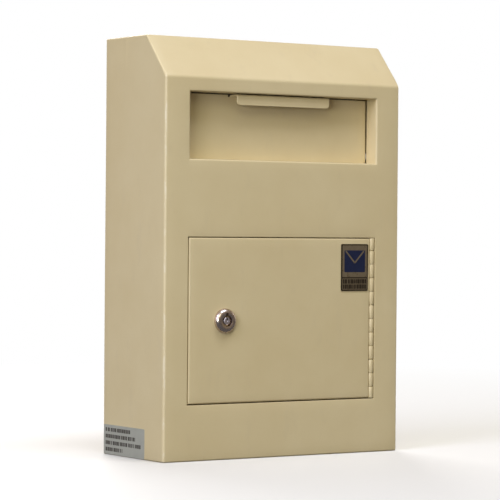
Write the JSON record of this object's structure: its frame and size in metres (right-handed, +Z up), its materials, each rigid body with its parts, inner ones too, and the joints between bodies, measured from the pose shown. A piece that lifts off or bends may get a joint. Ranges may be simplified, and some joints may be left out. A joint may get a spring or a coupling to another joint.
{
  "type": "parcel drop box",
  "caption": "Wall-mounted steel drop box: sloped top, recessed pull-down hopper that drops items inside, and a hinged access door with a tubular cam lock.",
  "frame": {"origin": "middle of the box's overall outline, lock head included, at floor level", "axes": "+X to the right as seen from the front, +Y from the front to the wall, +Z up"},
  "size_m": [0.2582, 0.1094, 0.381],
  "materials": {
    "cream_enamel": "satin",
    "zinc_steel": "satin",
    "lock_chrome": "polished",
    "pin_brass": "polished",
    "white_nylon": "matte",
    "badge_print": "gloss",
    "label_foil": "satin"
  },
  "bodies": {
    "case": {"case_wrapper": "cream_enamel", "sloped_hood": "cream_enamel", "bottom_panel": "cream_enamel", "back_panel": "cream_enamel", "door_stop_left": "cream_enamel", "door_stop_top": "cream_enamel", "door_stop_bottom": "cream_enamel", "hinge_jamb": "cream_enamel", "hinge_leaf_case": "cream_enamel", "hinge_pin": "zinc_steel", "hopper_bracket_left": "cream_enamel", "hopper_bracket_right": "cream_enamel", "hopper_stop": "cream_enamel", "pivot_rod": "zinc_steel", "rod_clips": "zinc_steel", "side_label": "label_foil"},
    "door": {"door_panel": "cream_enamel", "hinge_leaf_door": "cream_enamel", "badge_plate": "badge_print", "lock_housing": "lock_chrome", "lock_nut": "zinc_steel"},
    "lock_core": {"lock_spindle": "lock_chrome", "lock_pins": "pin_brass", "lock_washer": "zinc_steel", "lock_cam": "zinc_steel", "cam_nut": "zinc_steel"},
    "hopper": {"hopper_door": "cream_enamel", "hopper_baffle": "cream_enamel", "pivot_bushes": "white_nylon"}
  },
  "joints": [
    {"name": "door_hinge", "type": "hinge", "parent": "case", "child": "door", "pos_m": [0.09895, -0.04755, 0.1255], "axis": [0, 0, 1], "range_deg": [0, 105]},
    {"name": "hopper_pivot", "type": "hinge", "parent": "case", "child": "hopper", "pos_m": [0, -0.02875, 0.2763], "axis": [1, 0, 0], "range_deg": [0, 45]},
    {"name": "lock_turn", "type": "hinge", "parent": "door", "child": "lock_core", "pos_m": [-0.0654, -0.04975, 0.125], "axis": [0, 1, 0], "range_deg": [0, 90]}
  ]
}
